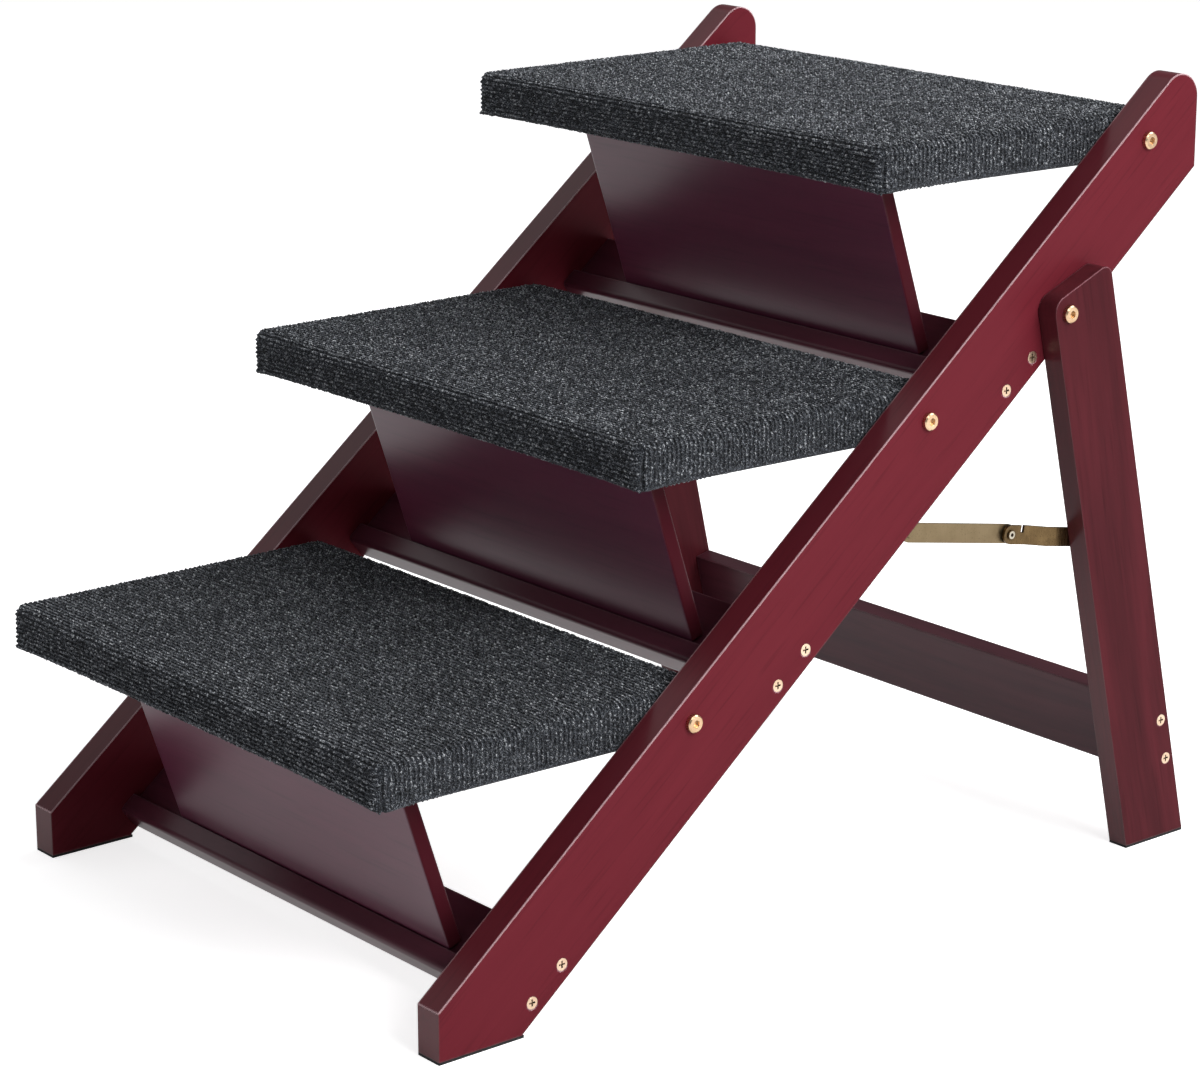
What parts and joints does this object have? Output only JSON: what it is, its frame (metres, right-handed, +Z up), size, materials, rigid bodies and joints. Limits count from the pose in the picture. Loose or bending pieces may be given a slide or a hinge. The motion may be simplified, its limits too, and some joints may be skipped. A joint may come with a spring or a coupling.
{
  "type": "folding pet stairs",
  "caption": "Folding wooden pet stairs with carpeted treads that lift on bolts, hinged props, swinging rear legs and jointed brass stays.",
  "frame": {"origin": "middle of the plan of the standing stairs, on the floor", "axes": "+X across the stairs to the right of a pet that climbs, +Y from the nose to the back in the direction of climbing, +Z up"},
  "size_m": [0.4342, 0.5746, 0.4597],
  "materials": {
    "lacquer": "satin mahogany-red lacquer",
    "dark_lacquer": "satin dark mahogany lacquer",
    "board": "satin lacquer on the bare underside",
    "carpet": "ribbed looped pile, charcoal grey",
    "gold": "yellow-plated, smooth",
    "brass": "antique brass, brushed",
    "steel": "plain steel",
    "rubber": "matt black"
  },
  "bodies": {
    "frame": {"rail_right": "lacquer", "rail_left": "lacquer", "rail_pads": "rubber", "cross_board_1": "dark_lacquer", "cross_board_2": "dark_lacquer", "cross_board_3": "dark_lacquer", "board_screws": "gold", "leg_bolts": "gold", "leg_inserts": "brass", "leg_washers": "steel", "stay_brackets": "brass", "bracket_screws": "gold", "bracket_pins": "brass"},
    "legs": {"leg_right": "lacquer", "leg_left": "lacquer", "leg_pads": "rubber", "stretcher": "dark_lacquer", "stretcher_screws": "gold", "stay_leg_pins": "brass"},
    "stay_front_right": {"stay_front_right": "brass"},
    "stay_front_left": {"stay_front_left": "brass"},
    "stay_rear_right": {"stay_rear_right": "brass", "knee_rivet_right": "steel"},
    "stay_rear_left": {"stay_rear_left": "brass", "knee_rivet_left": "steel"},
    "tread_1": {"tread_board_1": "board", "carpet_1": "carpet", "tread_bolts_1": "gold", "tread_inserts_1": "brass", "tread_leaves_1": "brass", "hinge_pins_1": "steel", "tread_leaf_screws_1": "gold"},
    "prop_1": {"prop_board_1": "dark_lacquer", "prop_leaves_1": "brass", "prop_leaf_screws_1": "gold"},
    "tread_2": {"tread_board_2": "board", "carpet_2": "carpet", "tread_bolts_2": "gold", "tread_inserts_2": "brass", "tread_leaves_2": "brass", "hinge_pins_2": "steel", "tread_leaf_screws_2": "gold"},
    "prop_2": {"prop_board_2": "dark_lacquer", "prop_leaves_2": "brass", "prop_leaf_screws_2": "gold"},
    "tread_3": {"tread_board_3": "board", "carpet_3": "carpet", "tread_bolts_3": "gold", "tread_inserts_3": "brass", "tread_leaves_3": "brass", "hinge_pins_3": "steel", "tread_leaf_screws_3": "gold"},
    "prop_3": {"prop_board_3": "dark_lacquer", "prop_leaves_3": "brass", "prop_leaf_screws_3": "gold"}
  },
  "joints": [
    {"name": "tread_1_lift", "type": "hinge", "parent": "frame", "child": "tread_1", "pos_m": [0, -0.09488, 0.14807], "axis": [-1, 0, 0], "range_deg": [0, 71.85]},
    {"name": "prop_1_fold", "type": "hinge", "parent": "tread_1", "child": "prop_1", "pos_m": [0, -0.23244, 0.13817], "axis": [1, 0, 0], "range_deg": [0, 71.85]},
    {"name": "tread_2_lift", "type": "hinge", "parent": "frame", "child": "tread_2", "pos_m": [0, 0.07595, 0.28606], "axis": [-1, 0, 0], "range_deg": [0, 71.85]},
    {"name": "prop_2_fold", "type": "hinge", "parent": "tread_2", "child": "prop_2", "pos_m": [0, -0.06161, 0.27616], "axis": [1, 0, 0], "range_deg": [0, 71.85]},
    {"name": "tread_3_lift", "type": "hinge", "parent": "frame", "child": "tread_3", "pos_m": [0, 0.24678, 0.42405], "axis": [-1, 0, 0], "range_deg": [0, 71.85]},
    {"name": "prop_3_fold", "type": "hinge", "parent": "tread_3", "child": "prop_3", "pos_m": [0, 0.10922, 0.41415], "axis": [1, 0, 0], "range_deg": [0, 71.85]},
    {"name": "leg_fold", "type": "hinge", "parent": "frame", "child": "legs", "pos_m": [0, 0.17075, 0.33564], "axis": [-1, 0, 0], "range_deg": [0, 63.83]},
    {"name": "stay_front_right_turn", "type": "hinge", "parent": "frame", "child": "stay_front_right", "pos_m": [0.1932, 0.07023, 0.22153], "axis": [-1, 0, 0], "range_deg": [0, 130.35]},
    {"name": "stay_rear_right_turn", "type": "hinge", "parent": "legs", "child": "stay_rear_right", "pos_m": [0.1995, 0.2284, 0.19667], "axis": [1, 0, 0], "range_deg": [0, 109.99]},
    {"name": "stay_front_left_turn", "type": "hinge", "parent": "frame", "child": "stay_front_left", "pos_m": [-0.1932, 0.07023, 0.22153], "axis": [-1, 0, 0], "range_deg": [0, 130.35]},
    {"name": "stay_rear_left_turn", "type": "hinge", "parent": "legs", "child": "stay_rear_left", "pos_m": [-0.1995, 0.2284, 0.19667], "axis": [1, 0, 0], "range_deg": [0, 109.99]}
  ],
  "couplings": [
    {"joint": "prop_1_fold", "follows": "tread_1_lift", "ratio": 1},
    {"joint": "prop_2_fold", "follows": "tread_2_lift", "ratio": 1},
    {"joint": "prop_3_fold", "follows": "tread_3_lift", "ratio": 1},
    {"joint": "stay_front_right_turn", "follows": "leg_fold", "ratio": 2.0421},
    {"joint": "stay_rear_right_turn", "follows": "leg_fold", "ratio": 1.7231},
    {"joint": "stay_front_left_turn", "follows": "leg_fold", "ratio": 2.0421},
    {"joint": "stay_rear_left_turn", "follows": "leg_fold", "ratio": 1.7231}
  ]
}
